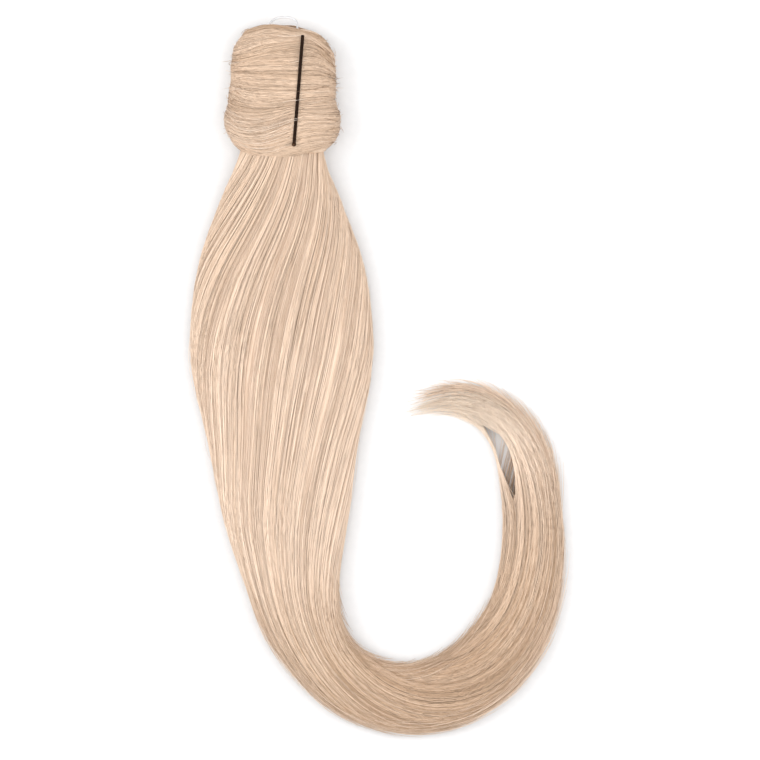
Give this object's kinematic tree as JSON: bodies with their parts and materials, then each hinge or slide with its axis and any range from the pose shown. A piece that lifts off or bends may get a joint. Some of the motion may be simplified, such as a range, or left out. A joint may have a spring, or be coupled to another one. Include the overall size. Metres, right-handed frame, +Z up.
{
  "type": "ponytail hairpiece",
  "caption": "Long ponytail of straight hair with a curled end, bound by a wound strand of hair that a pin holds, with a small clear loop above.",
  "frame": {"origin": "on the surface it lies on, under the middle of the wound head", "axes": "+Z up from the surface, +Y towards the top of the head; the tail leaves along -Y and curls round to +X"},
  "size_m": [0.1686, 0.3225, 0.0275],
  "materials": {
    "tail_hair": "soft sheen",
    "wrap_hair": "soft sheen",
    "pin_enamel": "satin",
    "clear_elastic": "clear"
  },
  "bodies": {
    "root": {"tail": "tail_hair", "wrap_strand": "wrap_hair", "bobby_pin": "pin_enamel", "elastic_loop": "clear_elastic"}
  },
  "joints": []
}
